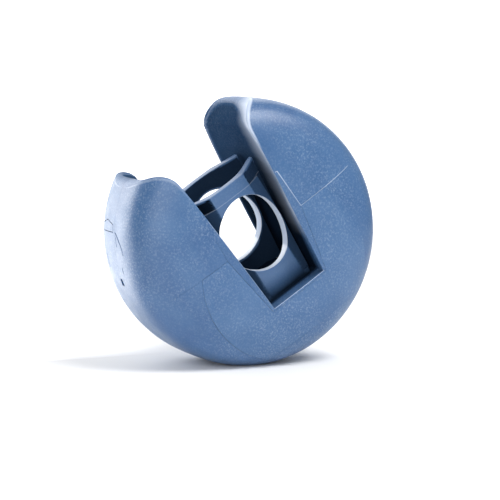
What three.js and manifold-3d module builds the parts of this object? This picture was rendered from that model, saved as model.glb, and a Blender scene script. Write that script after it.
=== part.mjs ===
// Slotted ball clip: a hollow moulded ball with a slot cut in from its mouth.
// Two sprung leaves stand in the slot and make a split sleeve with a cross hole.
// Millimetres, +Z up. The ball's axis is Y. The ball rests rolled, with its mouth up and to the left.
//
// The pieces are drawn upright, with the slot running up +Z, in one group that is then rolled about Y.

import * as THREE from "three";
import { mergeVertices } from "three/addons/utils/BufferGeometryUtils.js";
import Module from "manifold-3d";

const wasm = await Module();
wasm.setup();

// ---- Driving dimensions -------------------------------------------------------------------

const BALL_RADIUS = 38;
const HALF_THICKNESS = 19;
const PROFILE_POWER = 4.2; // 2 is an ellipse; more is a flatter face with a rounder rim
const ROLL_DEG = 33.5; // how far the mouth leans from upright, to the left
const REST_LAND_DEPTH = 0.45; // how much the flat under the rim takes off

const SLOT_FLOOR_Z = -18.4;
const SLOT_FLOOR_HALF = 9;
const SLOT_TAPER_DEG = 4.74;
const TIP_RADIUS = 6; // the rounded end of each jaw, in plan
const DISH = { radius: 60, depth: 2.5, deepZ: 27, startZ: -12 }; // hollows the walls between the faces

const WALL = 3; // shell thickness
const SLOT_WALL = 2.6; // wall between the slot and the hollow
const FLOOR_WALL = 5; // the slot's floor is thicker, to hold the leaf beads
const CAVITY_TOP_Z = 24; // the jaw tips are solid above this
const GAP = 0.3; // between fixed neighbours
const SIDE_GAP = 0.35; // between a leaf and the slot's walls

const COVER_RADIUS = 25.7;
const COVER_CENTRE_Z = -12;
const COVER_TOP_Z = 1;
const COVER_BOTTOM_Z = -31;
const COVER_DEPTH = 1.2;
const COVER_LAND_TOP = 2.7; // strip of shell between the cover and the slot, at the cover's top
const COVER_LAND_FLOOR = 0.9; // the same strip at the slot's floor
const COVER_INNER_Y = 6.5;

const LEAF_TOP_Z = 16.5;
const LEAF_FACE_Y = 12.1;
const LEAF_THICKNESS = 2.7;
const CREASE_X = 5.9;
const LEAF_SIDE = { x: 11.7, outerY: 6.4, innerY: 4.1 };
const LEAF_FLARE_Z = -2; // above this the leaf widens into the hollow of the slot's walls
const LEAF_TOP_HALF = 12.6;
const LEAF_HORN = { startX: 3, rise: 0.6 }; // the top edge curves up towards its corners
const WEB_TOP_Z = 12.9;
const WEB_EDGE = { x: 10, outerY: 9.7, innerY: 6 };
const CROSS_HOLE = { halfWidth: 9.8, halfHeight: 11.2, z: 0.5 };
const BEAD_RADIUS = 1.5;
const BEAD_Z = -19.9;
const BEAD_Y = LEAF_FACE_Y - LEAF_THICKNESS / 2;
const TONGUE_HALF = 7.8;

const HEEL = { halfX: 8.2, cornerX: 4.6, halfY: 8.2, cornerY: 4.6, topZ: -15.4, keyHalf: 3, keyZ: -20.6 };

const PEG_SITES = [[-25, 13], [25, 13], [-16, -25.5], [16, -25.5]];
const PEG_RADIUS = 1.7;
const PEG_LENGTH = 3.2;
const BOSS_RADIUS = 3.6;

const PRY_HOLE = { angleDeg: 166.8, halfY: 0.8, height: 2.1 }; // on the seam, in the left rim

const PLUG = { angleDeg: 142.7, y: 5.7, halfWidth: 4.5, eavesDrop: 1.2, height: 3.3, depth: 1.5 };

const RING_SEGMENTS = 72;
const PROFILE_STEPS = 14;
const FAR = 60; // well outside the ball

// ---- Materials ----------------------------------------------------------------------------

function plastic(color, roughness) {
  return new THREE.MeshStandardMaterial({ color, roughness, metalness: 0 });
}

const shellBlue = plastic(0x4a75ac, 0.42);
const coverBlue = plastic(0x4f7bb3, 0.42);
const leafBlue = plastic(0x456fa6, 0.38);

// ---- Solids -------------------------------------------------------------------------------

function solid(geometry) {
  geometry.deleteAttribute("normal");
  geometry.deleteAttribute("uv");
  const merged = mergeVertices(geometry, 1e-5);
  return new wasm.Manifold(
    new wasm.Mesh({
      numProp: 3,
      vertProperties: new Float32Array(merged.attributes.position.array),
      triVerts: new Uint32Array(merged.index.array),
    }),
  );
}

function piece(name, body, material) {
  const { vertProperties, triVerts } = body.getMesh();
  const geometry = new THREE.BufferGeometry();
  geometry.setAttribute("position", new THREE.BufferAttribute(vertProperties, 3));
  geometry.setIndex(new THREE.BufferAttribute(triVerts, 1));
  geometry.computeVertexNormals();
  const mesh = new THREE.Mesh(geometry, material);
  mesh.name = name;
  return mesh;
}

// The ball's skin, offset inwards: a superellipse turned about Y.
function ballBody(inset) {
  const radius = BALL_RADIUS - inset;
  const half = HALF_THICKNESS - inset;
  const points = [];
  for (let step = 0; step <= PROFILE_STEPS; step += 1) {
    const turn = (Math.PI * step) / PROFILE_STEPS;
    const along = Math.sin(turn) ** (2 / PROFILE_POWER);
    const up = Math.abs(Math.cos(turn)) ** (2 / PROFILE_POWER);
    const end = step === 0 || step === PROFILE_STEPS;
    points.push(new THREE.Vector2(end ? 0 : radius * along, -Math.sign(Math.cos(turn)) * half * up));
  }
  return solid(new THREE.LatheGeometry(points, RING_SEGMENTS));
}

// An outline in X and Z, pushed along Y from lowY to highY.
function plate(shape, lowY, highY) {
  const geometry = new THREE.ExtrudeGeometry(shape, {
    depth: highY - lowY,
    bevelEnabled: false,
    curveSegments: 20,
  });
  geometry.rotateX(Math.PI / 2);
  geometry.translate(0, highY, 0);
  return solid(geometry);
}

// An outline in X and Y, pushed along Z from lowZ to highZ.
function column(shape, lowZ, highZ) {
  const geometry = new THREE.ExtrudeGeometry(shape, {
    depth: highZ - lowZ,
    bevelEnabled: false,
    curveSegments: 12,
  });
  geometry.translate(0, 0, lowZ);
  return solid(geometry);
}

function block(lowX, highX, lowY, highY, lowZ, highZ) {
  const geometry = new THREE.BoxGeometry(highX - lowX, highY - lowY, highZ - lowZ);
  geometry.translate((lowX + highX) / 2, (lowY + highY) / 2, (lowZ + highZ) / 2);
  return solid(geometry);
}

function outline(points) {
  return new THREE.Shape(points.map(([x, y]) => new THREE.Vector2(x, y)));
}

function rodAlongY(x, z, radius, lowY, highY) {
  const geometry = new THREE.CylinderGeometry(radius, radius, highY - lowY, 16);
  geometry.translate(x, (lowY + highY) / 2, z);
  return solid(geometry);
}

function rodAlongX(y, z, radius, half) {
  const geometry = new THREE.CylinderGeometry(radius, radius, 2 * half, 18);
  geometry.rotateZ(Math.PI / 2);
  geometry.translate(0, y, z);
  return solid(geometry);
}

const mirroredY = (body) => body.mirror([0, 1, 0]);
const keepFront = (body) => body.intersect(block(-FAR, FAR, -FAR, -GAP / 2, -FAR, FAR));
const keepBack = (body) => body.intersect(block(-FAR, FAR, GAP / 2, FAR, -FAR, FAR));

// ---- The slot -----------------------------------------------------------------------------

const slope = Math.tan(THREE.MathUtils.degToRad(SLOT_TAPER_DEG));
const slotHalf = (z) => SLOT_FLOOR_HALF + (z - SLOT_FLOOR_Z) * slope;

// The centre of a jaw's rounded tip, tangent to the slot's wall and to the ball's outline.
function tipCentre() {
  const reach = BALL_RADIUS - TIP_RADIUS;
  let z = 26;
  for (let pass = 0; pass < 20; pass += 1) {
    const x = slotHalf(z) + TIP_RADIUS * Math.hypot(1, slope);
    z = Math.sqrt(reach * reach - x * x);
  }
  return { x: slotHalf(z) + TIP_RADIUS * Math.hypot(1, slope), z };
}

// The slot's outline with the two rounded jaw tips, open past the top of the ball.
function slotShape() {
  const tip = tipCentre();
  const outward = Math.atan2(tip.z, tip.x);
  const taper = THREE.MathUtils.degToRad(SLOT_TAPER_DEG);
  const shape = new THREE.Shape();
  shape.moveTo(-SLOT_FLOOR_HALF, SLOT_FLOOR_Z);
  shape.lineTo(SLOT_FLOOR_HALF, SLOT_FLOOR_Z);
  shape.absarc(tip.x, tip.z, TIP_RADIUS, Math.PI - taper, outward, true);
  shape.lineTo(FAR * Math.cos(outward), FAR * Math.sin(outward));
  shape.lineTo(-FAR * Math.cos(outward), FAR * Math.sin(outward));
  shape.absarc(-tip.x, tip.z, TIP_RADIUS, Math.PI - outward, taper, true);
  return shape;
}

// A plain tapered outline that follows the slot's walls, inset or grown by the given amounts.
function slotTrapezium(grow, floorZ, topZ) {
  const low = slotHalf(floorZ) + grow;
  const high = slotHalf(topZ) + grow;
  return outline([[-low, floorZ], [low, floorZ], [high, topZ], [-high, topZ]]);
}

// The hollows in the slot's two walls: each is a shallow groove that tilts outwards as it rises.
function dishCutter(grow) {
  const rise = DISH.deepZ - DISH.startZ;
  const tilt = Math.atan2(slotHalf(DISH.deepZ) + DISH.depth - slotHalf(DISH.startZ), rise);
  const geometry = new THREE.CylinderGeometry(DISH.radius, DISH.radius, 4 * FAR, 120);
  geometry.rotateX(Math.PI / 2);
  geometry.rotateY(tilt);
  geometry.translate(
    slotHalf(DISH.startZ) + grow - DISH.radius * Math.cos(tilt),
    0,
    DISH.startZ + DISH.radius * Math.sin(tilt),
  );
  const groove = solid(geometry);
  return groove
    .intersect(groove.mirror([1, 0, 0]))
    .intersect(block(-FAR, FAR, -FAR, FAR, DISH.startZ, FAR));
}

// ---- Covers: inlaid lower panels round the slot ---------------------------------------------

// The cover's outline: a disc cut off level at the top and bottom. Grow makes its pocket.
function coverDisc(grow) {
  const radius = COVER_RADIUS + grow;
  const topZ = COVER_TOP_Z + grow;
  const bottomZ = COVER_BOTTOM_Z - grow;
  const top = Math.asin((topZ - COVER_CENTRE_Z) / radius);
  const bottom = Math.asin((bottomZ - COVER_CENTRE_Z) / radius);
  const shape = new THREE.Shape();
  shape.absarc(0, COVER_CENTRE_Z, radius, bottom, top, false);
  shape.absarc(0, COVER_CENTRE_Z, radius, Math.PI - top, Math.PI - bottom, false);
  return shape;
}

// The notch that leaves a narrow land of shell along the slot's edges.
function coverNotch(shrink) {
  const low = SLOT_FLOOR_HALF + COVER_LAND_FLOOR - shrink;
  const high = slotHalf(COVER_TOP_Z) + COVER_LAND_TOP - shrink;
  const floor = SLOT_FLOOR_Z - COVER_LAND_FLOOR + shrink;
  return outline([[-low, floor], [low, floor], [high, COVER_TOP_Z + 2], [-high, COVER_TOP_Z + 2]]);
}

// Everything outside the cover's underside: the ball's skin trims it to the cover itself.
function coverCutter(grow) {
  return plate(coverDisc(grow), -FAR, -COVER_INNER_Y + grow)
    .subtract(plate(coverNotch(grow), -FAR, 0))
    .subtract(ballBody(COVER_DEPTH + grow));
}

const frontCover = coverCutter(0).intersect(ballBody(0));
const coverPocket = coverCutter(GAP);

// ---- Leaves: the two sprung halves of the sleeve ----------------------------------------------

// Half of the sleeve wall's section in X and Y, at the front: flat, creased, then back to the walls.
function leafSection() {
  const side = LEAF_SIDE;
  const innerFace = LEAF_FACE_Y - LEAF_THICKNESS;
  const shape = new THREE.Shape();
  shape.moveTo(-side.x - 1, -side.outerY);
  shape.lineTo(-CREASE_X, -LEAF_FACE_Y + 0.25);
  shape.quadraticCurveTo(0, -LEAF_FACE_Y - 0.25, CREASE_X, -LEAF_FACE_Y + 0.25);
  shape.lineTo(side.x + 1, -side.outerY);
  shape.lineTo(side.x + 1, -side.innerY);
  const bend = { endX: side.x - 2.2, endY: -side.innerY - 1, midX: CREASE_X + 2 };
  shape.bezierCurveTo(bend.endX, bend.endY, bend.midX, -innerFace, 0, -innerFace);
  shape.bezierCurveTo(-bend.midX, -innerFace, -bend.endX, bend.endY, -side.x - 1, -side.innerY);
  return shape;
}

function webSection(sign) {
  const edge = WEB_EDGE;
  const root = CREASE_X - 0.6;
  return outline([
    [sign * root, -LEAF_FACE_Y + 0.22],
    [sign * edge.x, -edge.outerY],
    [sign * edge.x, -edge.innerY],
    [sign * root, -edge.innerY - 2.6],
  ]);
}

// The leaf's outline in X and Z.
function leafPlan(low) {
  const right = [
    [slotHalf(low - 1) - SIDE_GAP, low - 1],
    [slotHalf(LEAF_FLARE_Z) - SIDE_GAP, LEAF_FLARE_Z],
  ];
  const steps = 6;
  for (let i = steps; i >= 0; i -= 1) {
    const part = i / steps;
    const x = LEAF_HORN.startX + (LEAF_TOP_HALF - LEAF_HORN.startX) * part;
    right.push([x, LEAF_TOP_Z + LEAF_HORN.rise * part * part]);
  }
  const left = right.map(([x, z]) => [-x, z]).reverse();
  return outline([...right, ...left]);
}

function leafSolid() {
  const low = SLOT_FLOOR_Z + GAP;
  let leaf = column(leafSection(), low, LEAF_TOP_Z + LEAF_HORN.rise + 1);
  for (const sign of [-1, 1]) {
    leaf = leaf.add(column(webSection(sign), low, WEB_TOP_Z));
  }
  leaf = leaf.intersect(plate(leafPlan(low), -FAR, 0));
  const hole = new THREE.Shape();
  hole.absellipse(0, CROSS_HOLE.z, CROSS_HOLE.halfWidth, CROSS_HOLE.halfHeight, 0, 2 * Math.PI, false, 0);
  leaf = leaf.subtract(plate(hole, -FAR, 0));
  const tongue = block(
    -TONGUE_HALF, TONGUE_HALF,
    -BEAD_Y - BEAD_RADIUS * 0.75, -BEAD_Y + BEAD_RADIUS * 0.75,
    BEAD_Z, low + 1,
  );
  return leaf.add(tongue).add(rodAlongX(-BEAD_Y, BEAD_Z, BEAD_RADIUS, TONGUE_HALF));
}

// The groove that each leaf's bead sits and turns in, below the slot's floor.
function beadGroove() {
  const half = TONGUE_HALF + GAP;
  const neck = BEAD_RADIUS * 0.75 + GAP;
  return rodAlongX(-BEAD_Y, BEAD_Z, BEAD_RADIUS + GAP, half).add(
    block(-half, half, -BEAD_Y - neck, -BEAD_Y + neck, BEAD_Z, SLOT_FLOOR_Z + 1),
  );
}

// ---- Heel: the block between the leaves' feet --------------------------------------------------

function heelSolid(grow) {
  const { halfX, cornerX, halfY, cornerY, topZ, keyHalf, keyZ } = HEEL;
  const shape = outline([
    [-halfX, -cornerY], [-cornerX, -halfY], [cornerX, -halfY], [halfX, -cornerY],
    [halfX, cornerY], [cornerX, halfY], [-cornerX, halfY], [-halfX, cornerY],
  ]);
  const key = block(
    -keyHalf - grow, keyHalf + grow, -keyHalf - grow, keyHalf + grow, keyZ - grow, SLOT_FLOOR_Z + 1,
  );
  return column(shape, SLOT_FLOOR_Z + GAP, topZ).add(key);
}

// ---- Rim details -----------------------------------------------------------------------------------

// Stands a prism on the rim: its outline's X runs along the ball's Y, and its Y runs down the rim.
function rimPrism(shape, angleDeg, y, depth) {
  const geometry = new THREE.ExtrudeGeometry(shape, { depth: 2 * depth, bevelEnabled: false });
  const angle = THREE.MathUtils.degToRad(angleDeg);
  const outward = new THREE.Vector3(Math.cos(angle), 0, Math.sin(angle));
  const across = new THREE.Vector3(0, 1, 0);
  const down = new THREE.Vector3().crossVectors(outward, across);
  const frame = new THREE.Matrix4().makeBasis(across, down, outward);
  frame.setPosition(outward.x * (BALL_RADIUS - depth), y, outward.z * (BALL_RADIUS - depth));
  geometry.applyMatrix4(frame);
  return solid(geometry);
}

// A small five-sided inset in the back half's rim.
function plugCutter(grow) {
  const { angleDeg, y, halfWidth, eavesDrop, height, depth } = PLUG;
  const half = halfWidth + grow;
  const top = -height / 2 - grow;
  const bottom = height / 2 + grow;
  const eaves = top + eavesDrop;
  const shape = outline([[0, top], [half, eaves], [half, bottom], [-half, bottom], [-half, eaves]]);
  return rimPrism(shape, angleDeg, y, 6).subtract(ballBody(depth + grow));
}

// The small hole on the seam, through the rim's wall.
function pryHole() {
  const { angleDeg, halfY, height } = PRY_HOLE;
  const half = height / 2;
  const shape = outline([[-halfY, -half], [halfY, -half], [halfY, half], [-halfY, half]]);
  return rimPrism(shape, angleDeg, 0, 6);
}

// ---- Shells ----------------------------------------------------------------------------------

// The flat under the ball, which stays level when the ball is rolled.
function restCut() {
  const geometry = new THREE.BoxGeometry(2 * FAR, 2 * FAR, FAR);
  geometry.translate(0, 0, -BALL_RADIUS + REST_LAND_DEPTH - FAR / 2);
  geometry.rotateY(THREE.MathUtils.degToRad(ROLL_DEG));
  return solid(geometry);
}

const hollow = ballBody(WALL)
  .intersect(block(-FAR, FAR, -FAR, FAR, -FAR, CAVITY_TOP_Z))
  .subtract(plate(slotTrapezium(SLOT_WALL, SLOT_FLOOR_Z - FLOOR_WALL, FAR), -FAR, FAR))
  .subtract(dishCutter(SLOT_WALL));

const ball = ballBody(0)
  .subtract(plate(slotShape(), -FAR, FAR))
  .subtract(dishCutter(0))
  .subtract(restCut())
  .subtract(pryHole());

function bosses(lowY, highY) {
  let joined = null;
  for (const [x, z] of PEG_SITES) {
    const boss = rodAlongY(x, z, BOSS_RADIUS, lowY, highY);
    joined = joined ? joined.add(boss) : boss;
  }
  return joined.intersect(ball);
}

// The front half carries the pegs, and the back half the sockets.
function frontShellSolid() {
  let shell = keepFront(ball.subtract(hollow)).add(bosses(-HALF_THICKNESS + 1, -GAP / 2));
  shell = shell.subtract(coverPocket).subtract(beadGroove()).subtract(heelSolid(GAP));
  for (const [x, z] of PEG_SITES) {
    shell = shell.add(rodAlongY(x, z, PEG_RADIUS, -2, PEG_LENGTH));
  }
  return shell;
}

function backShellSolid() {
  let shell = keepBack(ball.subtract(hollow)).add(bosses(GAP / 2, HALF_THICKNESS - 1));
  shell = shell.subtract(mirroredY(coverPocket)).subtract(mirroredY(beadGroove()));
  shell = shell.subtract(heelSolid(GAP)).subtract(plugCutter(GAP));
  for (const [x, z] of PEG_SITES) {
    shell = shell.subtract(rodAlongY(x, z, PEG_RADIUS + GAP, -2, PEG_LENGTH + GAP));
  }
  return shell;
}

// ---- The object --------------------------------------------------------------------------------

const frontLeaf = leafSolid();

const ballClip = new THREE.Group();
ballClip.add(piece("front_shell", frontShellSolid(), shellBlue));
ballClip.add(piece("back_shell", backShellSolid(), shellBlue));
ballClip.add(piece("front_cover", frontCover, coverBlue));
ballClip.add(piece("back_cover", mirroredY(frontCover), coverBlue));
ballClip.add(piece("front_leaf", frontLeaf, leafBlue));
ballClip.add(piece("back_leaf", mirroredY(frontLeaf), leafBlue));
ballClip.add(piece("sleeve_heel", heelSolid(0), leafBlue));
ballClip.add(piece("rim_plug", plugCutter(0).intersect(ballBody(0)), shellBlue));

ballClip.rotation.y = THREE.MathUtils.degToRad(-ROLL_DEG);
ballClip.position.z = BALL_RADIUS - REST_LAND_DEPTH;
ballClip.updateMatrixWorld(true);

export default ballClip;
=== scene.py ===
import math

import bmesh
import bpy
import numpy as np
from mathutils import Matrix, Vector

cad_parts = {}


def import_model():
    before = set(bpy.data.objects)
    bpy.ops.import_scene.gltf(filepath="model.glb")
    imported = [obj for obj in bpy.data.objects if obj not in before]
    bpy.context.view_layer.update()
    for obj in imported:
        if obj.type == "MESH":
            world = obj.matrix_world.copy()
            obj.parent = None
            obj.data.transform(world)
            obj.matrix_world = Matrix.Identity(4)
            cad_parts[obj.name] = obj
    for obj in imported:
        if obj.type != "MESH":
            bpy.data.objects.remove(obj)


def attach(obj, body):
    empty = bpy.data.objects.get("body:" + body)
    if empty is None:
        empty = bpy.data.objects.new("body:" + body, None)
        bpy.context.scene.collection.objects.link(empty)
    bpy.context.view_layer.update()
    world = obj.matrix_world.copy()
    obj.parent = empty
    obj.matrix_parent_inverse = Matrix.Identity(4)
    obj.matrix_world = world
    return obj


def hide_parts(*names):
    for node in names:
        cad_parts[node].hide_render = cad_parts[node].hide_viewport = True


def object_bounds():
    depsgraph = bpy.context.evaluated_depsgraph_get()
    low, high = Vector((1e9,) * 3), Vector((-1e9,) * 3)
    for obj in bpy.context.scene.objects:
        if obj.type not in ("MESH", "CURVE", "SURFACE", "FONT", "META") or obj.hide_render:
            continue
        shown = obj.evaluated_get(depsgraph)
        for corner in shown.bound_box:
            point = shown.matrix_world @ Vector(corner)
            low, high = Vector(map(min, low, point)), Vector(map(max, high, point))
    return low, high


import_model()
cad_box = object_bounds()

# ---- Driving dimensions, in millimetres, in the upright frame where the slot runs up +Z ----

MM = 0.001
BALL_RADIUS = round((cad_box[1][0] - cad_box[0][0]) / MM / 2)
HALF_THICKNESS = BALL_RADIUS / 2
PROFILE_POWER = 4.2
ROLL = math.radians(33.5)
REST_LAND_DEPTH = 0.45
CENTRE_Z = BALL_RADIUS - REST_LAND_DEPTH

SLOT_FLOOR_Z = -18.4
SLOT_FLOOR_HALF = 9.0
SLOT_SLOPE = math.tan(math.radians(4.74))
TIP_RADIUS = 6.0
EDGE_ROUND = 0.3  # along the slot's straight edges
TIP_ROUND = 0.36  # round the jaws' tips

DISH_DEPTH = 2.2  # how far the slot's walls are hollowed between the two faces, at the jaws' tips
DISH_POWER = 2.5
DISH_START_Z = -12.0
DISH_AT_TIP = 0.92
BACK_DROP = 1.1  # how much lower the tips are at the back face
# Share of the dish and of the back's drop round a jaw's tip, by degrees from the wall's side.
TIP_TURNS = [0, 15, 38, 53, 64, 75, 91, 110]
DISH_SHARES = [0.92, 0.96, 1.0, 1.0, 0.9, 0.72, 0.22, 0.0]
DROP_SHARES = [0.1, 0.4, 1.0, 1.0, 0.85, 0.45, 0.0, 0.0]

LEVEL_Z = 1.1  # the cover's top line
LAND_TOP_Z = 13.4  # where the narrow land beside the slot ends
LAND_AT_LEVEL = 2.7
LAND_AT_TOP = 1.06
LAND_AT_FLOOR = 0.75
COVER_RADIUS = 25.7
COVER_CENTRE_Z = -12.0
COVER_BOTTOM_Z = -31.0
COVER_THICK = 1.1
POCKET_DEPTH = 1.4
SEAM_HALF = 0.035  # half the hairline gap between neighbours
TIGHT_SEAM_HALF = 0.008  # where the cover's seam closes up, right of the slot
MIDDLE_GAP = 0.02
LINE_HALF = 0.13  # half the width of a witness line
RIDGE_HEIGHT = 0.05
LINE_DEPTH = 0.06
LEVEL_LINE_REACH = 32.0  # how far out the level line runs, from the ball's axis

INNER = {"radius": BALL_RADIUS - 3, "half": HALF_THICKNESS - 3, "wall": 2.6, "floor": -23.4, "tip": 7.0}

LEAF_TOP_Z = 16.5
LEAF_LOW_Z = SLOT_FLOOR_Z + 0.3
LEAF_FACE_Y = 12.1
LEAF_THICKNESS = 2.7
CREASE_X = 5.9
LEAF_SIDE_X = 11.7
LEAF_SIDE_OUTER_Y = 6.4
LEAF_SIDE_INNER_Y = 4.1
LEAF_FLARE_Z = -2.0  # above this the leaf widens into the hollow of the slot's walls
LEAF_TOP_HALF = 12.6
LEAF_HORN_START_X = 3.0  # from here the top edge curves up towards its corners
LEAF_HORN_RISE = 0.6
SIDE_GAP = 0.35
WEB_TOP_Z = 12.9
WEB_EDGE_X = 10.0
WEB_EDGE_Y = 9.7
WEB_STEP = 0.06  # width of the step from a web to the side of the leaf
RIDGE_SPREAD = 0.15  # how far the pale line along the step fades out on each side
HOLE_HALF_X = 9.8
HOLE_HALF_Z = 11.2
HOLE_Z = 0.5
LEAF_ROUND = 0.35
BEAD_RADIUS = 1.5
BEAD_Z = -19.9
BEAD_Y = LEAF_FACE_Y - LEAF_THICKNESS / 2
TONGUE_HALF = 7.8

PLUG_ANGLE = math.radians(142.7)
PLUG_Y = 5.7
PLUG_HALF = 4.5
PLUG_EAVES = 1.2
PLUG_HEIGHT = 3.3
PLUG_GAP = 0.2
PRY_ANGLE = math.radians(166.8)
PLUG_OUT = 0.0  # heights over the skin of the plug's top and bottom, and of its pocket's
PLUG_IN = -1.2
PLUG_POCKET_OUT = 1.0
PLUG_POCKET_IN = -1.4
PRY_HALF_Y = 0.8
PRY_HEIGHT = 2.1
PRY_OUT = (BALL_RADIUS - 5, BALL_RADIUS + 2)

HEEL_HALF = 8.2
HEEL_CORNER = 4.6
HEEL_TOP_Z = -15.4
HEEL_KEY_HALF = 3.0
HEEL_KEY_Z = -20.6
HEEL_ROUND = 0.4
FOOT_GAP = 0.3  # round the leaves' feet and the heel's key, in the slot's floor
NECK_HALF = BEAD_RADIUS * 0.75

# Fine marks in the left rim, of the front half (-1) and the back half (1). Each runs between two places,
# given as (degrees round the ball's axis, y), and its middle bows out along Y by the last number.
RIM_MARKS = {
    -1: [((145, -0.5), (154, -6), -1), ((147, -1), (151, -1.5), 0), ((159.5, -3.5), (162.5, -3.5), 0)],
    1: [((155, 7.5), (161, 7), 0)],
}
MARK_STEPS = 4
MARK_HALF = 0.2
MARK_DEPTH = 0.3

# ---- How finely the pieces are meshed ----

TIP_COLUMNS = 26
UPPER_COLUMNS = 22
LAND_COLUMNS = 16
LOWER_COLUMNS = 30
FLOOR_COLUMNS = 16
LAND_ROWS = 3
COVER_ROWS = 18
RIM_ROWS = 34
EDGE_ROWS = 6
WALL_ROWS = 22
CAVITY_WALL_ROWS = 4
CAVITY_FACE_ROWS = 15
ARC_SHARE = 0.36  # where the rows change from the cover's to the rim's, above the level line
LEAF_SPOKES = 192
LEAF_MIDDLE = 14
SHARP_DEG = 32  # edges sharper than this aren't smoothed
LEAF_SHARP_DEG = 28
BOX_FACES = [[0, 1, 3, 2], [4, 6, 7, 5], [0, 4, 5, 1], [2, 3, 7, 6], [0, 2, 6, 4], [1, 5, 7, 3]]

# ---- Painted highlights on the witness ridges, the slot's edges and its right wall, from 0 (none) to 1 ----

LEVEL_TONE = 0.5
LAND_TONES = (0.7, 0.4)  # along the land's outer line, from its top to the level line
LAND_END_TONE = 0.6
EDGE_TONES = {"tip": 0.75, "floor": 0.6}
TIP_FADE = 2.2  # how fast the pale edge fades below the tip
LEFT_EDGE_TONE = 0.3
LEFT_TIP_SHARE = 0.3  # the left jaw's tip shows less of the pale edge
STRIP_TONE = 0.62  # painted light on the slot's right wall next to its front edge
STRIP_ROWS = (18, 12)  # how many rows of the wall that takes, at the top and at the bottom
STRIP_TOP_Z = 26.0
STRIP_LOW_Z = -7.0
RIDGE_TONE = 0.22  # along the top of the leaf's webs

# ---- Painted shade in the recesses (darker colour, duller gloss), from 0 (as outside) to 1 ----

INSIDE_START = 0.02  # these three are shares of the way in from the skin to the ball's middle
INSIDE_REACH = 0.20
INSIDE_REACH_BACK = 0.07
INSIDE_BLEND = 12.0  # how far in front of the seam the painted shade takes to change from the back half's
FLOOR_SHADE_Y = (13.6, 15.2)  # painted shade on the slot's floor: dark beside the leaf, little near the face
FLOOR_SHADES = (0.95, 0.2)
UPPER_SHADE = 0.72  # the jaws' inner walls get less painted shade than the slot's depth
SHADE_TOP_Z = 20.0
SHADE_LOW_Z = 2.0
BORE_TONE = 0.88
LEAF_SIDE_TONE = 0.74
WEB_TONE = 0.45
LEFT_SIDE_EXTRA = 0.25
RIGHT_SIDE_EXTRA = 0.24  # at its deepest, from RIGHT_EXTRA_Z down
RIGHT_EXTRA_Z = (4.0, -6.0)
FOOT_TONE = 0.95
FOOT_SHADE_HEIGHT = 6.0

# ---- Colours, light and camera ----

# colour of the painted shade in the recesses
PAINTED_SHADE_BLUE = (0.004, 0.009, 0.019, 1)
# colour of the painted highlights on edges, witness ridges and the right wall
PAINTED_HIGHLIGHT_BLUE = (0.60, 0.68, 0.81, 1)
SPECK_BLUE = (0.55, 0.66, 0.80, 1)
DULL = (0.62, 0.62, 0.62, 1)  # roughness deep inside
GLOSS = 0.5  # specular level outside, which falls to none where the painted shade is half full

FLOOR_HALF = 0.3
FLOOR_GLOW = 3.2  # emission of the floor patch behind the object on its left: painted light for a lit sweep
FLOOR_GLOW_Y = (0.02, 0.07)
FLOOR_GLOW_X = (-0.005, -0.05)
ROOM_STRENGTH = 0.16
SWEEP_STRENGTH = 1.7
SWEEP_LEFT_STRENGTH = 5.0
SWEEP_Y = (0.56, 0.72)
SWEEP_LEFT_X = (-0.35, 0.05)
# Each lamp's place, what it points at, its size and its power.
LAMPS = {
    "top": ((0.33, -0.39, 0.86), (0, 0, 0.05), 0.6, 8.5),
    "front": ((-0.45, -0.8, 0.35), (0, 0, 0.04), 0.8, 4.5),
    "back_top": ((-0.1, 0.3, 0.95), (0, 0, 0.02), 0.9, 2.5),
}

CAMERA_AZIMUTH = math.radians(-23.35)
CAMERA_ELEVATION = math.radians(6.0)
CAMERA_DISTANCE = 16.6 * BALL_RADIUS * MM
AIM_RIGHT = 0.079 * BALL_RADIUS * MM
AIM_UP = -0.149 * BALL_RADIUS * MM
LENS_MM = 159.2
SENSOR_MM = 36

# ---- Small helpers ----


def to_frame(points):
    """Upright millimetres to the row frame in metres: roll about Y, then lift."""
    points = np.asarray(points, float)
    x, y, z = points[:, 0], points[:, 1], points[:, 2]
    turned_x = x * math.cos(ROLL) - z * math.sin(ROLL)
    turned_z = x * math.sin(ROLL) + z * math.cos(ROLL) + CENTRE_Z
    return np.stack([turned_x, y, np.maximum(turned_z, 0)], axis=1) * MM


def mesh_object(name, points, faces, sharp_deg=SHARP_DEG, lines=None):
    """A smooth-shaded object from upright points, with repeated points merged.

    lines gives each point how strongly it shows as a pale line: a painted highlight on a witness ridge, an
    edge or a wall.
    """
    mesh = bpy.data.meshes.new(name)
    mesh.from_pydata(to_frame(points).tolist(), [], faces)
    if lines is not None:
        store(mesh, "line", lines)
    work = bmesh.new()
    work.from_mesh(mesh)
    bmesh.ops.remove_doubles(work, verts=work.verts, dist=1e-7)
    bmesh.ops.dissolve_degenerate(work, edges=work.edges, dist=1e-8)
    bmesh.ops.delete(work, geom=[v for v in work.verts if not v.link_faces], context="VERTS")
    bmesh.ops.recalc_face_normals(work, faces=work.faces)
    work.to_mesh(mesh)
    work.free()
    obj = bpy.data.objects.new(name, mesh)
    bpy.context.scene.collection.objects.link(obj)
    smooth(obj, sharp_deg)
    return obj


def store(mesh, name, values):
    """Keeps one value for each point of the mesh, for a material to read."""
    mesh.attributes.new(name, "FLOAT", "POINT").data.foreach_set("value", np.asarray(values, float))


def smooth(obj, sharp_deg):
    obj.data.polygons.foreach_set("use_smooth", [True] * len(obj.data.polygons))
    obj.data.set_sharp_from_angle(angle=math.radians(sharp_deg))


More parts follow.
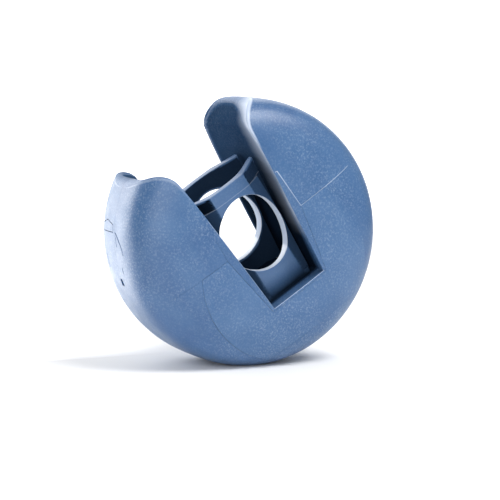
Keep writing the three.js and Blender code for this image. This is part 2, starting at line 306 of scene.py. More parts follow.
def boolean(obj, other, operation, sharp_deg=SHARP_DEG):
    """Cuts or joins obj with other, applies it, and deletes other."""
    modifier = obj.modifiers.new("cut", "BOOLEAN")
    modifier.operation = operation
    modifier.solver = "MANIFOLD"
    modifier.object = other
    bpy.context.view_layer.update()
    shaped = obj.evaluated_get(bpy.context.evaluated_depsgraph_get())
    mesh = bpy.data.meshes.new_from_object(shaped)
    obj.modifiers.clear()
    obj.data = mesh
    bpy.data.objects.remove(other)
    smooth(obj, sharp_deg)


def grid_faces(index):
    """Quads of a 2-D array of point numbers."""
    a = index[:-1, :-1].ravel()
    b = index[1:, :-1].ravel()
    c = index[1:, 1:].ravel()
    d = index[:-1, 1:].ravel()
    return [list(quad) for quad in zip(a.tolist(), b.tolist(), c.tolist(), d.tolist())]


def box_object(name, low, high):
    corners = [(x, y, z) for x in (low[0], high[0]) for y in (low[1], high[1]) for z in (low[2], high[2])]
    return mesh_object(name, np.array(corners, float), BOX_FACES)


def rod_along_x(name, y, z, radius, half, sides=28):
    turn = np.linspace(0, 2 * math.pi, sides, endpoint=False)
    ring = np.stack([radius * np.cos(turn) + y, radius * np.sin(turn) + z], axis=1)
    points = [(x, p[0], p[1]) for x in (-half, half) for p in ring]
    faces = [[i, (i + 1) % sides, sides + (i + 1) % sides, sides + i] for i in range(sides)]
    faces.append(list(range(sides)))
    faces.append(list(range(sides, 2 * sides)))
    return mesh_object(name, points, faces)


# ---- The ball's profile ----


class Profile:
    """A superellipse from the pole of a flat face to the rim, measured along its length."""

    def __init__(self, radius, half):
        self.radius = radius
        self.half = half
        turn = np.linspace(0, math.pi / 2, 8001)
        self.out = radius * np.sin(turn) ** (2 / PROFILE_POWER)
        self.up = half * np.abs(np.cos(turn)) ** (2 / PROFILE_POWER)
        self.up[-1] = 0
        steps = np.hypot(np.diff(self.out), np.diff(self.up))
        self.length = np.concatenate([[0], np.cumsum(steps)])

    def length_at(self, out):
        return np.interp(out, self.out, self.length)

    def out_at(self, length):
        return np.interp(length, self.length, self.out)

    def height_at(self, length):
        return np.interp(length, self.length, self.up)

    def height_over(self, out):
        return self.half * (1 - np.clip(out / self.radius, 0, 1) ** PROFILE_POWER) ** (1 / PROFILE_POWER)

    def normal(self, point):
        """Unit outward normal at a point of the skin."""
        x, y, z = point
        out = max(math.hypot(x, z), 1e-9)
        plan = out ** (PROFILE_POWER - 2) / self.radius**PROFILE_POWER
        depth = abs(y) ** (PROFILE_POWER - 1) / self.half**PROFILE_POWER
        vector = np.array([x * plan, math.copysign(depth, y), z * plan])
        return vector / np.linalg.norm(vector)


SKIN = Profile(BALL_RADIUS, HALF_THICKNESS)
CAVITY = Profile(INNER["radius"], INNER["half"])

# ---- Columns: lines across the ball's face from the slot's edge to the rim ----


def slot_half(z):
    return SLOT_FLOOR_HALF + (z - SLOT_FLOOR_Z) * SLOT_SLOPE


def tip_centre(radius, tip, wall):
    """Centre of a jaw tip's round end, tangent to the slot's wall (grown by wall) and to the rim."""
    z = 0.7 * radius
    for _ in range(30):
        x = slot_half(z) + wall + tip * math.hypot(1, SLOT_SLOPE)
        z = math.sqrt((radius - tip) ** 2 - x * x)
    return x, z


def spread(low, high, count):
    """Count places from low up to, not including, high."""
    return [low + (high - low) * i / count for i in range(count)]


def right_columns(radius, wall, floor_z, tip):
    """(inner point, outer point, place) of each column on the right half, from the jaw's tip down."""
    tip_x, tip_z = tip_centre(radius, tip, wall)
    tip_angle = math.atan2(tip_z, tip_x)
    wall_angle = math.pi - math.atan(SLOT_SLOPE)
    wall_end_z = tip_z + tip * math.sin(wall_angle)
    level_angle = math.asin(LEVEL_Z / radius)
    shoulder_angle = math.radians(37)
    corner_angle = math.radians(-56)
    columns = []

    def add(inner, angle, place):
        outer = (radius * math.cos(angle), radius * math.sin(angle))
        columns.append((inner, outer, place))

    for turn in spread(0, 1, TIP_COLUMNS):
        bend = tip_angle + (wall_angle - tip_angle) * turn**1.15
        inner = (tip_x + tip * math.cos(bend), tip_z + tip * math.sin(bend))
        add(inner, tip_angle + (shoulder_angle - tip_angle) * turn, ("tip", turn))

    def wall_column(z, angle, place):
        add((slot_half(z) + wall, z), angle, place)

    def run(low, high, low_angle, high_angle, count, place):
        for part in spread(0, 1, count):
            z = low + (high - low) * part
            wall_column(z, low_angle + (high_angle - low_angle) * part, (place, part))

    def line(z, angle, place):
        shifts = (LINE_HALF, SEAM_HALF, 0, -SEAM_HALF, -LINE_HALF)
        for shift, step in zip(shifts, (-2, -1, 0, 1, 2)):
            wall_column(z + shift, angle + shift / radius, (place, step))

    land_angle = level_angle + (shoulder_angle - level_angle) * 0.5
    step = 2 * LINE_HALF
    run(wall_end_z, LAND_TOP_Z + step, shoulder_angle, land_angle + step / radius, UPPER_COLUMNS, "upper")
    line(LAND_TOP_Z, land_angle, "land_top")
    run(LAND_TOP_Z - step, LEVEL_Z + step, land_angle - step / radius, level_angle + step / radius,
        LAND_COLUMNS, "land")
    line(LEVEL_Z, level_angle, "level")
    run(LEVEL_Z - step, floor_z, level_angle - step / radius, corner_angle, LOWER_COLUMNS, "lower")
    for part in spread(0, 1, FLOOR_COLUMNS):
        x = (slot_half(floor_z) + wall) * (1 - part)
        add((x, floor_z), corner_angle + (-math.pi / 2 - corner_angle) * part, ("floor", part))
    return columns


def all_columns(radius, wall, floor_z, tip):
    """The right half's columns, the middle one, and the left half's in mirror order."""
    right = right_columns(radius, wall, floor_z, tip)
    middle = ((0.0, floor_z), (0.0, -radius), ("floor", 1.0))
    left = [((-i[0], i[1]), (-o[0], o[1]), place) for i, o, place in reversed(right)]
    return right + [middle] + left


def along(inner, outer, out):
    """The point at distance out from the ball's axis on the line from inner to outer."""
    start = np.array(inner)
    line = np.array(outer) - start
    a = float(line @ line)
    b = float(2 * start @ line)
    c = float(start @ start) - out * out
    if a < 1e-12:
        return start
    root = math.sqrt(max(b * b - 4 * a * c, 0))
    return start + line * min(max((-b + root) / (2 * a), 0), 1)


def edge_round(place):
    """How much the slot's edge is rounded at this column."""
    kind, part = place
    if kind == "tip":
        return TIP_ROUND
    if kind == "upper":
        ease = (1 - part) ** 2.2
        return EDGE_ROUND + (TIP_ROUND - EDGE_ROUND) * ease
    return EDGE_ROUND


def land_width(inner, place):
    """Width of the land beside the slot, to the cover's seam or its witness line."""
    kind, _ = place
    z = inner[1]
    if kind == "floor":
        return LAND_AT_FLOOR
    if z <= LEVEL_Z:
        part = (LEVEL_Z - z) / (LEVEL_Z - SLOT_FLOOR_Z)
        return LAND_AT_LEVEL + (LAND_AT_FLOOR - LAND_AT_LEVEL) * part
    if z <= LAND_TOP_Z:
        part = (z - LEVEL_Z) / (LAND_TOP_Z - LEVEL_Z)
        return LAND_AT_LEVEL + (LAND_AT_TOP - LAND_AT_LEVEL) * part
    return LAND_AT_TOP


def ring_crossing(inner, outer):
    """Where a column's line leaves the cover's disc, cut off level at its bottom."""
    start = np.array(inner)
    line = np.array(outer) - start
    centre = np.array([0, COVER_CENTRE_Z])
    rel = start - centre
    a = float(line @ line)
    b = float(2 * rel @ line)
    c = float(rel @ rel) - COVER_RADIUS**2
    part = (-b + math.sqrt(b * b - 4 * a * c)) / (2 * a)
    if start[1] + line[1] * part < COVER_BOTTOM_Z:
        part = (COVER_BOTTOM_Z - start[1]) / line[1]
    return start + line * part


def dish(inner, place, tip):
    """This column's shares of the dish and of the back's drop, and the way that its wall sinks."""
    kind, _ = place
    side = 1 if inner[0] >= 0 else -1
    if kind == "tip":
        away = np.array([abs(inner[0]) - tip[0], inner[1] - tip[1]])
        turn = math.degrees(math.atan2(away[1], -away[0]))
        direction = -away / max(np.linalg.norm(away), 1e-9)
        shares = [float(np.interp(turn, TIP_TURNS, values)) for values in (DISH_SHARES, DROP_SHARES)]
        return shares[0], shares[1], np.array([direction[0] * side, direction[1]])
    share = 0.0
    if kind != "floor":
        share = float(np.interp(inner[1], [DISH_START_Z, tip[1]], [0, DISH_AT_TIP]))
    return share, 0.0, np.array([side, 0.0])


def dish_depth(shares, y, half):
    """How far the wall sinks at y, when it reaches half to each face and the back is at +Y."""
    part = max(-1.0, min(1.0, y / max(half, 1e-6)))
    hollow = DISH_DEPTH * shares[0] * (1 - abs(part) ** DISH_POWER)
    return hollow + BACK_DROP * shares[1] * max(part, 0) ** 1.5


def land_length(inner, outer, place, start, full, rounding):
    """Length along the skin from the slot's edge to the land's outer line."""
    width = land_width(inner, place)
    if place[0] in ("tip", "upper"):
        return min(max(width, rounding * 1.35 + 0.1), 0.5 * full)
    toward = np.array(outer) - np.array(inner)
    toward /= np.linalg.norm(toward)
    across = abs(toward[1]) if place[0] == "floor" else abs(toward[0])
    point = np.array(inner) + toward * width / across
    return float(SKIN.length_at(np.hypot(*point))) - start


def column_rows(inner, outer, place, side, tip):
    """A column's points from the slot's wall at mid-plane over its edge and across the face to the rim."""
    edge_out = math.hypot(*inner)
    start = float(SKIN.length_at(edge_out))
    full = float(SKIN.length[-1]) - start
    wall_height = float(SKIN.height_over(edge_out))
    rounding = min(edge_round(place), 0.42 * full, 0.42 * wall_height)
    land = land_length(inner, outer, place, start, full, rounding)
    arc = full * ARC_SHARE
    if place[0] in ("lower", "floor", "level"):
        arc = float(SKIN.length_at(np.hypot(*ring_crossing(inner, outer)))) - start
    seam = min(SEAM_HALF, 0.01 * full)
    arc_seam = seam if inner[0] < 0 or outer[0] < 0 else min(TIGHT_SEAM_HALF, seam)
    line = min(LINE_HALF, 0.04 * full)
    marks = [rounding + (land - line - rounding) * i / LAND_ROWS for i in range(LAND_ROWS)]
    marks += [land - line, land - seam, land, land + seam, land + line]
    marks += [land + line + (arc - land - line - arc_seam) * i / COVER_ROWS for i in range(1, COVER_ROWS)]
    marks += [arc - arc_seam, arc, arc + arc_seam]
    marks += [arc + arc_seam + (full - arc - arc_seam) * (i / RIM_ROWS) for i in range(1, RIM_ROWS + 1)]
    points = []
    for mark in marks:
        length = min(start + mark, float(SKIN.length[-1]))
        plan = along(inner, outer, float(SKIN.out_at(length)))
        points.append((plan[0], -max(float(SKIN.height_at(length)), MIDDLE_GAP), plan[1]))
    edge = np.array([inner[0], -wall_height, inner[1]])
    first = np.array(points[0])
    foot = edge + np.array([0, min(rounding, wall_height), 0])
    bend = []
    for i in range(1, EDGE_ROWS):
        t = i / EDGE_ROWS
        bend.append(foot * (1 - t) ** 2 + edge * 2 * t * (1 - t) + first * t * t)
    wall = [np.array([inner[0], -MIDDLE_GAP + (float(foot[1]) + MIDDLE_GAP) * i / WALL_ROWS, inner[1]])
            for i in range(WALL_ROWS + 1)]
    *shares, direction = dish(inner, place, tip)
    lip = dish_depth(shares, side * wall_height, wall_height)
    for row in wall:
        row[[0, 2]] += direction * min(dish_depth(shares, side * -row[1], wall_height), 0.9 * full)
    for step, row in enumerate(bend, 1):
        row[[0, 2]] += direction * min(lip, 0.9 * full) * (1 - step / EDGE_ROWS) ** 1.5
    ordered = np.array(wall + bend + points)
    ordered[:, 1] = np.minimum(ordered[:, 1], -MIDDLE_GAP)
    land_row = len(wall) + len(bend) + LAND_ROWS + 2
    arc_row = land_row + 2 + COVER_ROWS - 1 + 2
    return ordered, land_row, arc_row


def half_grid(side):
    """Points of one half's outer skin at -Y, [column, row], with the columns' places."""
    columns = all_columns(BALL_RADIUS, 0.0, SLOT_FLOOR_Z, TIP_RADIUS)
    tip = tip_centre(BALL_RADIUS, TIP_RADIUS, 0.0)
    rows = []
    for inner, outer, place in columns:
        points, land_row, arc_row = column_rows(inner, outer, place, side, tip)
        rows.append(points)
    return np.array(rows), [c[2] for c in columns], land_row, arc_row


def cavity_grid():
    """Points of the hollow's surface, with as many columns as the skin."""
    columns = all_columns(INNER["radius"], INNER["wall"], INNER["floor"], INNER["tip"])
    rows = []
    for inner, outer, _ in columns:
        edge_out = math.hypot(*inner)
        start = float(CAVITY.length_at(edge_out))
        full = float(CAVITY.length[-1]) - start
        height = float(CAVITY.height_over(edge_out))
        points = []
        for i in range(CAVITY_WALL_ROWS):
            rise = (max(height, MIDDLE_GAP) - MIDDLE_GAP) * i / CAVITY_WALL_ROWS
            points.append((inner[0], -MIDDLE_GAP - rise, inner[1]))
        for i in range(CAVITY_FACE_ROWS):
            length = start + full * i / (CAVITY_FACE_ROWS - 1)
            plan = along(inner, outer, float(CAVITY.out_at(length)))
            points.append((plan[0], -max(float(CAVITY.height_at(length)), MIDDLE_GAP), plan[1]))
        rows.append(points)
    return np.array(rows)


GRIDS = {side: half_grid(side)[0] for side in (-1, 1)}
_, PLACES, LAND_ROW, ARC_ROW = half_grid(-1)
LEVEL_COLUMNS = [i for i, place in enumerate(PLACES) if place == ("level", 0)]
LAND_TOP_COLUMNS = [i for i, place in enumerate(PLACES) if place == ("land_top", 0)]


def scribe(grid, with_painted_wall_light):
    """Raises the fine witness ridges, and sinks the level line left of the slot.

    Returns the moved points, and how strongly each shows as a painted highlight. Its second argument also
    paints light onto the slot's right wall.
    """
    marked = grid.copy()
    pale = np.zeros(grid.shape[:2])
    wall_end = WALL_ROWS + 1

    def shift(column, row, height, tone):
        point = grid[column, row]
        marked[column, row] = point + SKIN.normal(point) * height
        pale[column, row] = tone

    first, last = LEVEL_COLUMNS
    top_right, top_left = LAND_TOP_COLUMNS
    for column in (first - 1, first, first + 1, last):
        right = column < last
        for row in range(ARC_ROW + 1, grid.shape[1] - 2):
            out = math.hypot(grid[column, row, 0], grid[column, row, 2])
            if out < LEVEL_LINE_REACH:
                shift(column, row, RIDGE_HEIGHT if right else -LINE_DEPTH, LEVEL_TONE if right else 0.0)
    for row in range(LAND_ROW - 1, ARC_ROW + 2):
        shift(first - 1, row, RIDGE_HEIGHT / 2, LEVEL_TONE)
    for column in range(top_right, first):
        part = (column - top_right) / (first - top_right)
        tone = LAND_TONES[0] + (LAND_TONES[1] - LAND_TONES[0]) * part
        for row in (LAND_ROW - 1, LAND_ROW, LAND_ROW + 1):
            shift(column, row, RIDGE_HEIGHT, tone)
    for column in range(last + 1, top_left + 1):
        shift(column, LAND_ROW, -LINE_DEPTH, 0.0)
    for row in range(LAND_ROW - LAND_ROWS - 2, LAND_ROW):
        for column in (top_right - 1, top_right, top_right + 1):
            shift(column, row, RIDGE_HEIGHT, LAND_END_TONE)
    # Painted highlight along the slot's front edge.
    for column, (kind, part) in enumerate(PLACES):
        on_left = column > len(PLACES) / 2
        pale[column, wall_end + 2 : wall_end + 4] = edge_tone(kind, part, on_left)
    # Painted light on the front half's right wall.
    if with_painted_wall_light:
        paint_wall_light(grid, pale, wall_end)
    return marked, pale


def edge_tone(kind, part, on_left):
    """How strong the painted highlight on the slot's edge is at this column."""
    tone = EDGE_TONES.get(kind, 0.0)
    if kind == "upper":
        tone = EDGE_TONES["tip"] * max(0.0, 1 - TIP_FADE * part)
    if not on_left:
        return tone
    if kind in ("tip", "upper"):
        return tone * LEFT_TIP_SHARE
    return tone if kind == "floor" else LEFT_EDGE_TONE


def paint_wall_light(grid, pale, wall_end):
    """Paints light on the slot's right wall next to its front edge, less and less towards the slot's depth.
    """
    for column in range(len(PLACES) // 2):
        part = np.clip((grid[column, wall_end, 2] - STRIP_LOW_Z) / (STRIP_TOP_Z - STRIP_LOW_Z), 0, 1)
        rows = round(STRIP_ROWS[1] + (STRIP_ROWS[0] - STRIP_ROWS[1]) * part)
        tone = STRIP_TONE * part**0.5
        strip = tone * np.linspace(0, 1, rows + 2) ** 1.1
        pale[column, wall_end - rows : wall_end + 2] = strip


def sunk(points, depth):
    """The same points, moved in along the skin's normals."""
    flat = points.reshape(-1, 3)
    moved = np.array([p - SKIN.normal(p) * depth for p in flat])
    return moved.reshape(points.shape)


def patch_walls(top, bottom):
    """Quads round a patch's border between two arrays of point numbers."""

    def border(index):
        return np.concatenate([index[:, 0], index[-1, 1:], index[-2::-1, -1], index[0, -2:0:-1]])

    upper = border(top).tolist()
    lower = border(bottom).tolist()
    count = len(upper)
    return [[upper[i], upper[(i + 1) % count], lower[(i + 1) % count], lower[i]] for i in range(count)]


def half_shell(name, side):
    """One hollow half of the ball, with its cover's pocket. side is -1 for the front, 1 for the back."""
    skin = GRIDS[side]
    outer, pale = scribe(skin, side < 0)
    cavity = cavity_grid()
    columns, rows = outer.shape[:2]
    points = list(outer.reshape(-1, 3))
    index = np.arange(columns * rows).reshape(columns, rows)
    left = LEVEL_COLUMNS[0] - 1
    right = LEVEL_COLUMNS[1] + 1
    low = LAND_ROW - 1
    high = ARC_ROW + 1
    faces = grid_faces(index[: left + 1])
    faces += grid_faces(index[right:])
    faces += grid_faces(index[left : right + 1, : low + 1])
    faces += grid_faces(index[left : right + 1, high:])
    hole = index[left : right + 1, low : high + 1]
    floor_points = sunk(skin[left : right + 1, low : high + 1], POCKET_DEPTH)
    floor_index = np.arange(floor_points.shape[0] * floor_points.shape[1]) + len(points)
    floor_index = floor_index.reshape(floor_points.shape[:2])
    points += list(floor_points.reshape(-1, 3))
    faces += grid_faces(floor_index)
    faces += patch_walls(hole, floor_index)
    inner_index = np.arange(cavity.shape[0] * cavity.shape[1]).reshape(cavity.shape[:2]) + len(points)
    points += list(cavity.reshape(-1, 3))
    faces += grid_faces(inner_index)
    faces += grid_faces(np.stack([index[:, 0], inner_index[:, 0]], axis=1))
    faces += grid_faces(np.stack([index[:, -1], inner_index[:, -1]], axis=1))
    placed = np.array(points) * np.array([1, -side, 1])
    lines = np.zeros(len(placed))
    lines[: pale.size] = pale.ravel()
    return mesh_object(name, placed, faces, lines=lines)


def cover(name, side):
    """The inlaid lower panel, a hairline inside its pocket."""
    left = LEVEL_COLUMNS[0] + 1
    right = LEVEL_COLUMNS[1] - 1
    low = LAND_ROW + 1
    high = ARC_ROW - 1
    top = GRIDS[side][left : right + 1, low : high + 1]
    bottom = sunk(top, COVER_THICK)
    count = top.shape[0] * top.shape[1]
    top_index = np.arange(count).reshape(top.shape[:2])
    points = np.concatenate([top.reshape(-1, 3), bottom.reshape(-1, 3)])
    faces = grid_faces(top_index)
    faces += grid_faces(top_index + count)
    faces += patch_walls(top_index, top_index + count)
    lines = np.zeros(2 * count)
    # Painted highlight on the cover's top row.
    lines[: top.shape[1]] = LEVEL_TONE  # the top row, beside the witness ridge on the level line
    return mesh_object(name, points * np.array([1, -side, 1]), faces, lines=lines)


# ---- Leaves ----


def leaf_outer(x, z):
    """How far the leaf's outer face stands from the mid-plane at x, z."""
    across = abs(x)
    if across <= CREASE_X:
        return LEAF_FACE_Y + 0.12 - 0.3 * (across / CREASE_X) ** 2
    crease = LEAF_FACE_Y - 0.18
    slope = (LEAF_SIDE_OUTER_Y - crease) / (LEAF_SIDE_X + 1 - CREASE_X)
    tube = crease + slope * (across - CREASE_X)
    if z < WEB_TOP_Z and across < WEB_EDGE_X:
        web_slope = (WEB_EDGE_Y - crease) / (WEB_EDGE_X - CREASE_X)
        return crease + web_slope * (across - CREASE_X)
    return tube


def bore_curve():
    """The sleeve's bore, from the slot's wall to the middle: a flared quarter of a round tube."""
    face = LEAF_FACE_Y - LEAF_THICKNESS
    ends = ((LEAF_SIDE_X + 1, LEAF_SIDE_INNER_Y), (LEAF_SIDE_X - 2.4, LEAF_SIDE_INNER_Y + 0.7),
            (CREASE_X + 2.2, face), (0, face))
    t = np.linspace(0, 1, 200)
    weights = ((1 - t) ** 3, 3 * t * (1 - t) ** 2, 3 * t * t * (1 - t), t**3)
    x = sum(w * p[0] for w, p in zip(weights, ends))
    y = sum(w * p[1] for w, p in zip(weights, ends))
    return x[::-1], y[::-1]


BORE = bore_curve()


def leaf_inner(x):
    return float(np.interp(abs(x), *BORE))


def edge_steps():
    """Distances from an edge, and how far the face falls there, for a quarter-round edge."""
    turns = np.linspace(0, math.pi / 2, 5)
    away = LEAF_ROUND * (1 - np.cos(turns))
    fall = LEAF_ROUND * (1 - np.sin(turns))
    return away, fall


def leaf_outline():
    """Corners of the leaf's outline in x and z, up its right side and back down its left."""
    right = [(slot_half(z) - SIDE_GAP, z) for z in (LEAF_LOW_Z, LEAF_FLARE_Z)]
    for part in np.linspace(1, 0, 13):
        x = LEAF_HORN_START_X + (LEAF_TOP_HALF - LEAF_HORN_START_X) * part
        right.append((x, LEAF_TOP_Z + LEAF_HORN_RISE * part * part))
    left = [(-x, z) for x, z in reversed(right)]
    return np.array(right + left)


LEAF_OUTLINE = leaf_outline()


def leaf_reach(angle):
    """How far from the hole's centre a ray leaves the leaf's outline."""
    ray = np.array([math.cos(angle), math.sin(angle)])
    best = 1e9
    starts = LEAF_OUTLINE - np.array([0, HOLE_Z])
    for start, end in zip(starts, np.roll(starts, -1, axis=0)):
        edge = end - start
        area = ray[0] * edge[1] - ray[1] * edge[0]
        if abs(area) < 1e-12:
            continue
        reach = (start[0] * edge[1] - start[1] * edge[0]) / area
        part = (start[0] * ray[1] - start[1] * ray[0]) / area
        if reach > 0 and -1e-9 <= part <= 1 + 1e-9:
            best = min(best, reach)
    return best


def leaf_angles():
    """Evenly spread rays, with one exactly through each of the outline's main corners."""
    angles = np.linspace(0, 2 * math.pi, LEAF_SPOKES, endpoint=False)
    main = (0, 1, 2, -3, -2, -1)
    for x, z in LEAF_OUTLINE[list(main)]:
        corner = math.atan2(z - HOLE_Z, x) % (2 * math.pi)
        angles[np.argmin(np.abs(angles - corner))] = corner
    return np.sort(angles)


def leaf_plan():
    """Places in x and z on rays from the hole's edge to the outline, and how far the face falls at each."""
    away, fall = edge_steps()
    plan = []
    drop = []
    for angle in leaf_angles():
        far = leaf_reach(angle)
        near = 1 / math.hypot(math.cos(angle) / HOLE_HALF_X, math.sin(angle) / HOLE_HALF_Z)
        room = far - near
        scale = min(1, 0.4 * room / LEAF_ROUND)
        inside = [near + a * scale for a in away]
        outside = [far - a * scale for a in away[::-1]]
        middle = np.linspace(inside[-1], outside[0], LEAF_MIDDLE + 2)[1:-1].tolist()
        reach = inside + middle + outside
        plan.append([(r * math.cos(angle), HOLE_Z + r * math.sin(angle)) for r in reach])
        drop.append([f * scale for f in fall] + [0] * LEAF_MIDDLE + [f * scale for f in fall[::-1]])
    return np.array(plan), np.array(drop)


def leaf_blank(name):
    """A leaf without its foot: a flat mesh, split along the creases and webs, then given its two faces."""
    plan, drop = leaf_plan()
    flat = plan.reshape(-1, 2)
    index = np.arange(drop.size).reshape(drop.shape)
    closed = np.concatenate([index, index[:1]])
    work = bmesh.new()
    drop_layer = work.verts.layers.float.new("drop")
    verts = [work.verts.new((x, 0, z)) for x, z in flat]
    for vert, value in zip(verts, drop.ravel()):
        vert[drop_layer] = value
    for quad in grid_faces(closed):
        work.faces.new([verts[i] for i in quad])
    across = (CREASE_X, WEB_EDGE_X, WEB_EDGE_X - WEB_STEP)
    up = (WEB_TOP_Z + RIDGE_SPREAD, WEB_TOP_Z, WEB_TOP_Z - WEB_STEP, WEB_TOP_Z - WEB_STEP - RIDGE_SPREAD)
    cuts = [((sign * x, 0, 0), (1, 0, 0)) for sign in (-1, 1) for x in across]
    cuts += [((0, 0, z), (0, 0, 1)) for z in up]
    for place, normal in cuts:
        geometry = work.verts[:] + work.edges[:] + work.faces[:]
        bmesh.ops.bisect_plane(work, geom=geometry, dist=1e-4, plane_co=place, plane_no=normal)
    work.verts.ensure_lookup_table()
    work.verts.index_update()
    places = [(v.co.x, v.co.z, v[drop_layer]) for v in work.verts]
    polygons = [[v.index for v in face.verts] for face in work.faces]
    borders = [[v.index for v in edge.verts] for edge in work.edges if edge.is_boundary]
    work.free()
    count = len(places)
    outer = [(x, -(leaf_outer(x * 1.00001, z) - d), z) for x, z, d in places]
    inner = [(x, -(leaf_inner(x) + d), z) for x, z, d in places]
    faces = polygons + [[i + count for i in reversed(p)] for p in polygons]
    faces += [[a, b, b + count, a + count] for a, b in borders]
    return mesh_object(name, np.array(outer + inner), faces, LEAF_SHARP_DEG)


def leaf(name, side):
    """One sprung half of the sleeve, with the tongue and bead of its foot."""
    blank = leaf_blank(name)
    tongue = box_object("tongue", (-TONGUE_HALF, -BEAD_Y - NECK_HALF, BEAD_Z),
                        (TONGUE_HALF, -BEAD_Y + NECK_HALF, LEAF_LOW_Z + 1))
    bead = rod_along_x("bead", -BEAD_Y, BEAD_Z, BEAD_RADIUS, TONGUE_HALF)
    boolean(blank, tongue, "UNION", LEAF_SHARP_DEG)
    boolean(blank, bead, "UNION", LEAF_SHARP_DEG)
    if side > 0:
        mirror_y(blank)
        smooth(blank, LEAF_SHARP_DEG)
    return blank


def mirror_y(obj):
    work = bmesh.new()
    work.from_mesh(obj.data)
    for vert in work.verts:
        vert.co.y = -vert.co.y
    bmesh.ops.reverse_faces(work, faces=work.faces)
    work.to_mesh(obj.data)
    work.free()


# ---- Heel and rim details ----


def heel(name):
    """The eight-sided block between the leaves' feet, with a key down into the slot's floor."""
    ring = [(-1, -HEEL_CORNER / HEEL_HALF), (-HEEL_CORNER / HEEL_HALF, -1)]
    ring += [(-x, y) for x, y in reversed(ring)]
    ring += [(x, -y) for x, y in reversed(ring)]
    count = len(ring)
    points = [(x * HEEL_HALF, y * HEEL_HALF, z) for z in (LEAF_LOW_Z, HEEL_TOP_Z) for x, y in ring]
    faces = [[i, (i + 1) % count, count + (i + 1) % count, count + i] for i in range(count)]
    faces += [list(range(count)), list(range(count, 2 * count))]
    block = mesh_object(name, points, faces)
    key = box_object("key", (-HEEL_KEY_HALF, -HEEL_KEY_HALF, HEEL_KEY_Z),
                     (HEEL_KEY_HALF, HEEL_KEY_HALF, LEAF_LOW_Z + 1))
    boolean(block, key, "UNION")
    bevel = block.modifiers.new("round", "BEVEL")
    bevel.width = HEEL_ROUND * MM
    bevel.segments = 3
    bevel.limit_method = "ANGLE"
    return block


def rim_point(angle, y, rise):
    """A point on the rim at this angle round the ball's axis, rise above the skin."""
    out = BALL_RADIUS * (1 - (abs(y) / HALF_THICKNESS) ** PROFILE_POWER) ** (1 / PROFILE_POWER)
    point = np.array([out * math.cos(angle), y, out * math.sin(angle)])
    return point + SKIN.normal(point) * rise


def plug_block(name, grow, top, bottom):
    """The five-sided rim plug, or with grow its pocket, between two heights over the skin."""
    half = PLUG_HALF + grow
    across = np.linspace(-1, 1, 17)
    down = np.linspace(0, 1, 13)
    layers = []
    for rise in (top, bottom):
        layer = []
        for u in across:
            ridge = -PLUG_HEIGHT / 2 - grow + PLUG_EAVES * abs(u)
            foot = PLUG_HEIGHT / 2 + grow
            angles = [PLUG_ANGLE + (ridge + (foot - ridge) * v) / BALL_RADIUS for v in down]
            layer.append([rim_point(angle, PLUG_Y + u * half, rise) for angle in angles])
        layers.append(np.array(layer))
    count = layers[0].shape[0] * layers[0].shape[1]
    index = np.arange(count).reshape(layers[0].shape[:2])
    points = np.concatenate([layer.reshape(-1, 3) for layer in layers])
    faces = grid_faces(index) + grid_faces(index + count) + patch_walls(index, index + count)
    return mesh_object(name, points, faces)


def pry_cutter():
    """A short upright prism through the rim on the seam."""
    step = PRY_HEIGHT / 2 / BALL_RADIUS
    points = []
    for out in PRY_OUT:
        for angle in (PRY_ANGLE - step, PRY_ANGLE + step):
            for y in (-PRY_HALF_Y, PRY_HALF_Y):
                points.append((out * math.cos(angle), y, out * math.sin(angle)))
    return mesh_object("pry", points, BOX_FACES)


def groove_cutter(start, end, bow):
    """A V-shaped sliver along the rim from start to end, for a fine engraved mark."""
    spots = []
    for i in range(MARK_STEPS + 1):
        part = i / MARK_STEPS
        angle = start[0] + (end[0] - start[0]) * part
        y = start[1] + (end[1] - start[1]) * part + bow * 4 * part * (1 - part)
        spots.append(rim_point(math.radians(angle), y, 0))
    points = []
    for i, spot in enumerate(spots):
        along_path = spots[min(i + 1, len(spots) - 1)] - spots[max(i - 1, 0)]
        up = SKIN.normal(spot)
        across = np.cross(along_path, up)
        across *= MARK_HALF / np.linalg.norm(across)
        above = spot + up * MARK_DEPTH
        points += [above + across * 2, above - across * 2, spot - up * MARK_DEPTH]
    faces = [[0, 1, 2], [len(points) - 1, len(points) - 2, len(points) - 3]]
    for i in range(len(spots) - 1):
        a = 3 * i
        faces += [[a, a + 1, a + 4, a + 3], [a + 1, a + 2, a + 5, a + 4], [a + 2, a, a + 3, a + 5]]
    return mesh_object("mark", np.array(points), faces)


def cut_feet(shell, side):
    """The groove for a leaf's foot and the recess for the heel's key, in the slot's floor."""
    half = TONGUE_HALF + FOOT_GAP
    neck = NECK_HALF + FOOT_GAP
    low, high = sorted([side * (BEAD_Y - neck), side * (BEAD_Y + neck)])
    boolean(shell, box_object("groove", (-half, low, BEAD_Z), (half, high, SLOT_FLOOR_Z + 1)), "DIFFERENCE")
    boolean(shell, rod_along_x("round", side * BEAD_Y, BEAD_Z, BEAD_RADIUS + FOOT_GAP, half), "DIFFERENCE")
    key = HEEL_KEY_HALF + FOOT_GAP
    recess = box_object("recess", (-key, -key, HEEL_KEY_Z - FOOT_GAP), (key, key, SLOT_FLOOR_Z + 1))
    boolean(shell, recess, "DIFFERENCE")


# ---- How deep inside each point lies, for the painted shade of the recesses: darker colour and duller gloss ----


def to_upright(points):
    """The reverse of to_frame, as an array of millimetres."""
    points = np.asarray(points, float) / MM
    x, y, z = points[:, 0], points[:, 1], points[:, 2] - CENTRE_Z
    along_x = x * math.cos(ROLL) + z * math.sin(ROLL)
    along_z = -x * math.sin(ROLL) + z * math.cos(ROLL)
    return np.stack([along_x, y, along_z], axis=1)


